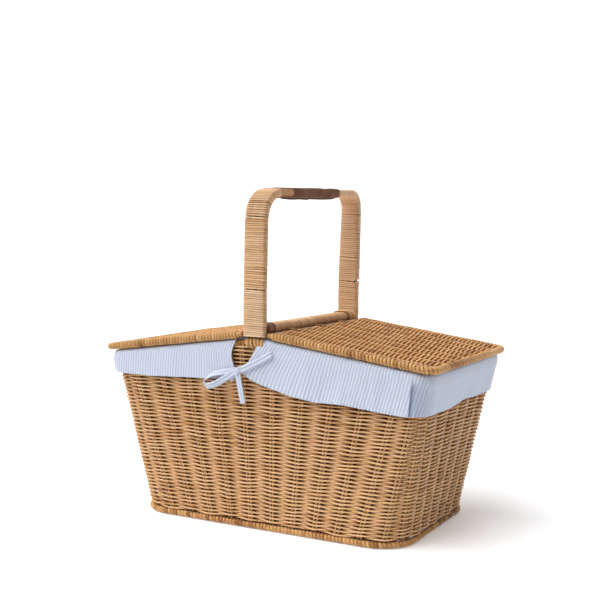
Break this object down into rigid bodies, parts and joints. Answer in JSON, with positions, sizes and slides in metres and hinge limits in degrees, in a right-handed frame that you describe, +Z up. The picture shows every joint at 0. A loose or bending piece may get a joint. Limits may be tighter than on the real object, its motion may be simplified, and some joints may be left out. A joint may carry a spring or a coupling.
{
  "type": "picnic basket",
  "caption": "Woven cane picnic basket: tapered body, gabled rim, hinged lids on a crossbar, fixed wrapped handle with leather grip, striped cloth liner tied in bows.",
  "frame": {"origin": "on the surface the basket stands on, under the middle of its body", "axes": "+X along the basket's length, +Y to its back, +Z up"},
  "size_m": [0.4694, 0.2738, 0.4281],
  "materials": {
    "cane_weave": "satin peeled willow and cane weavers",
    "cane_stakes": "satin round rods",
    "border_cane": "satin cane, closely wound",
    "handle_cane": "satin split cane, closely wound",
    "core_rods": "matt round rods",
    "liner_cloth": "narrow blue and white woven stripe",
    "tie_cloth": "folded and stitched tape of the striped cloth",
    "grip_leather": "smooth dark brown",
    "grip_thread": "waxed thread"
  },
  "bodies": {
    "basket": {"foot_rod": "core_rods", "foot_wrap": "border_cane", "base_sticks": "cane_stakes", "base_weave": "cane_weave", "side_stakes": "cane_stakes", "side_weave": "cane_weave", "rim_rod": "core_rods", "rim_wrap": "border_cane", "liner_bag": "liner_cloth", "liner_collar_left": "liner_cloth", "liner_collar_right": "liner_cloth", "tie_front_left": "tie_cloth", "tie_front_right": "tie_cloth", "tie_back_left": "tie_cloth", "tie_back_right": "tie_cloth", "handle_rods": "core_rods", "handle_wrap_front": "handle_cane", "handle_wrap_back": "handle_cane", "handle_binding_front": "handle_cane", "handle_binding_back": "handle_cane", "handle_lashing_front": "border_cane", "handle_lashing_back": "border_cane", "grip_leather": "grip_leather", "grip_keeper": "grip_leather", "grip_lacing": "grip_thread", "crossbar_rods": "core_rods", "crossbar_wrap": "handle_cane", "crossbar_binding_front": "handle_cane", "crossbar_binding_back": "handle_cane", "left_hinge_loops": "border_cane", "right_hinge_loops": "border_cane"},
    "left_lid": {"left_lid_frame": "core_rods", "left_lid_wrap": "border_cane", "left_lid_hinge_rod": "core_rods", "left_lid_stakes": "cane_stakes", "left_lid_weave": "cane_weave"},
    "right_lid": {"right_lid_frame": "core_rods", "right_lid_wrap": "border_cane", "right_lid_hinge_rod": "core_rods", "right_lid_stakes": "cane_stakes", "right_lid_weave": "cane_weave"}
  },
  "joints": [
    {"name": "left_lid_hinge", "type": "hinge", "parent": "basket", "child": "left_lid", "pos_m": [-0.02, 0, 0.2443], "axis": [0, 1, 0], "range_deg": [0, 95]},
    {"name": "right_lid_hinge", "type": "hinge", "parent": "basket", "child": "right_lid", "pos_m": [0.02, 0, 0.2443], "axis": [0, -1, 0], "range_deg": [0, 95]}
  ]
}
